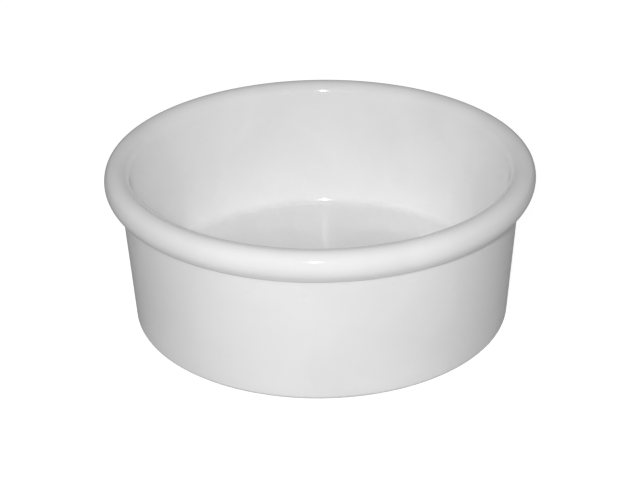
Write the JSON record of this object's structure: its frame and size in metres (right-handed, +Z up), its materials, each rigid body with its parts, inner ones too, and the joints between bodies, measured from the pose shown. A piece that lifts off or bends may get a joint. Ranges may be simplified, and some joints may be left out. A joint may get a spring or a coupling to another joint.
{
  "type": "cheese mold",
  "caption": "Round open cheese mold: a thick-walled, slightly tapered white bowl with a fat rolled rim, a flat floor and a foot ring, to hold and shape curd.",
  "frame": {"origin": "centre of the foot ring's resting plane, on the mold's axis", "axes": "+Z up along the axis, out of the open mouth; X and Y are any two directions across, because the mold is round"},
  "size_m": [0.2, 0.2, 0.077],
  "materials": {
    "white_plastic": "glossy as moulded, food-grade white plastic with very fine moulding ripple"
  },
  "bodies": {
    "root": {"mold_body": "white_plastic"}
  },
  "joints": []
}
